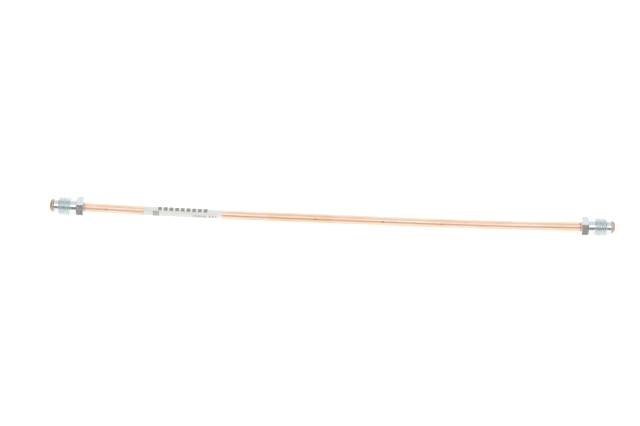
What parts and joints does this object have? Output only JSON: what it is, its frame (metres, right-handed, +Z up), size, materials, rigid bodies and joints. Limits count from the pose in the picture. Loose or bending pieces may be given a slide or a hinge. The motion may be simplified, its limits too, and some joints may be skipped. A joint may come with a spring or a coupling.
{
  "type": "brake line",
  "caption": "Short straight hydraulic brake pipe with a domed flare and a captive male tube nut at each end, and a plain paper label round it.",
  "frame": {"origin": "centre of the bottom of the bounding box, on the surface that the line lies on", "axes": "+X along the line, from the labelled end to the other; +Z up, with the pipe's slight bow hanging down between the nuts"},
  "size_m": [0.3002, 0.0116, 0.0104],
  "materials": {
    "copper": "bright drawn copper, a little tarnished",
    "zinc_steel": "bright zinc plate with a faint blue cast over a turned surface",
    "label_paper": "matt self-adhesive paper with plain grey bars"
  },
  "bodies": {
    "pipe": {"pipe": "copper", "label": "label_paper"},
    "left_nut": {"left_nut": "zinc_steel"},
    "right_nut": {"right_nut": "zinc_steel"}
  },
  "joints": [
    {"name": "left_nut_spin", "type": "hinge", "parent": "pipe", "child": "left_nut", "pos_m": [-0.13393, 0, 0.00506], "axis": [-0.9994, 0, 0.0348], "continuous": true},
    {"name": "right_nut_spin", "type": "hinge", "parent": "pipe", "child": "right_nut", "pos_m": [0.13393, 0, 0.00506], "axis": [0.9994, 0, 0.0348], "continuous": true}
  ]
}
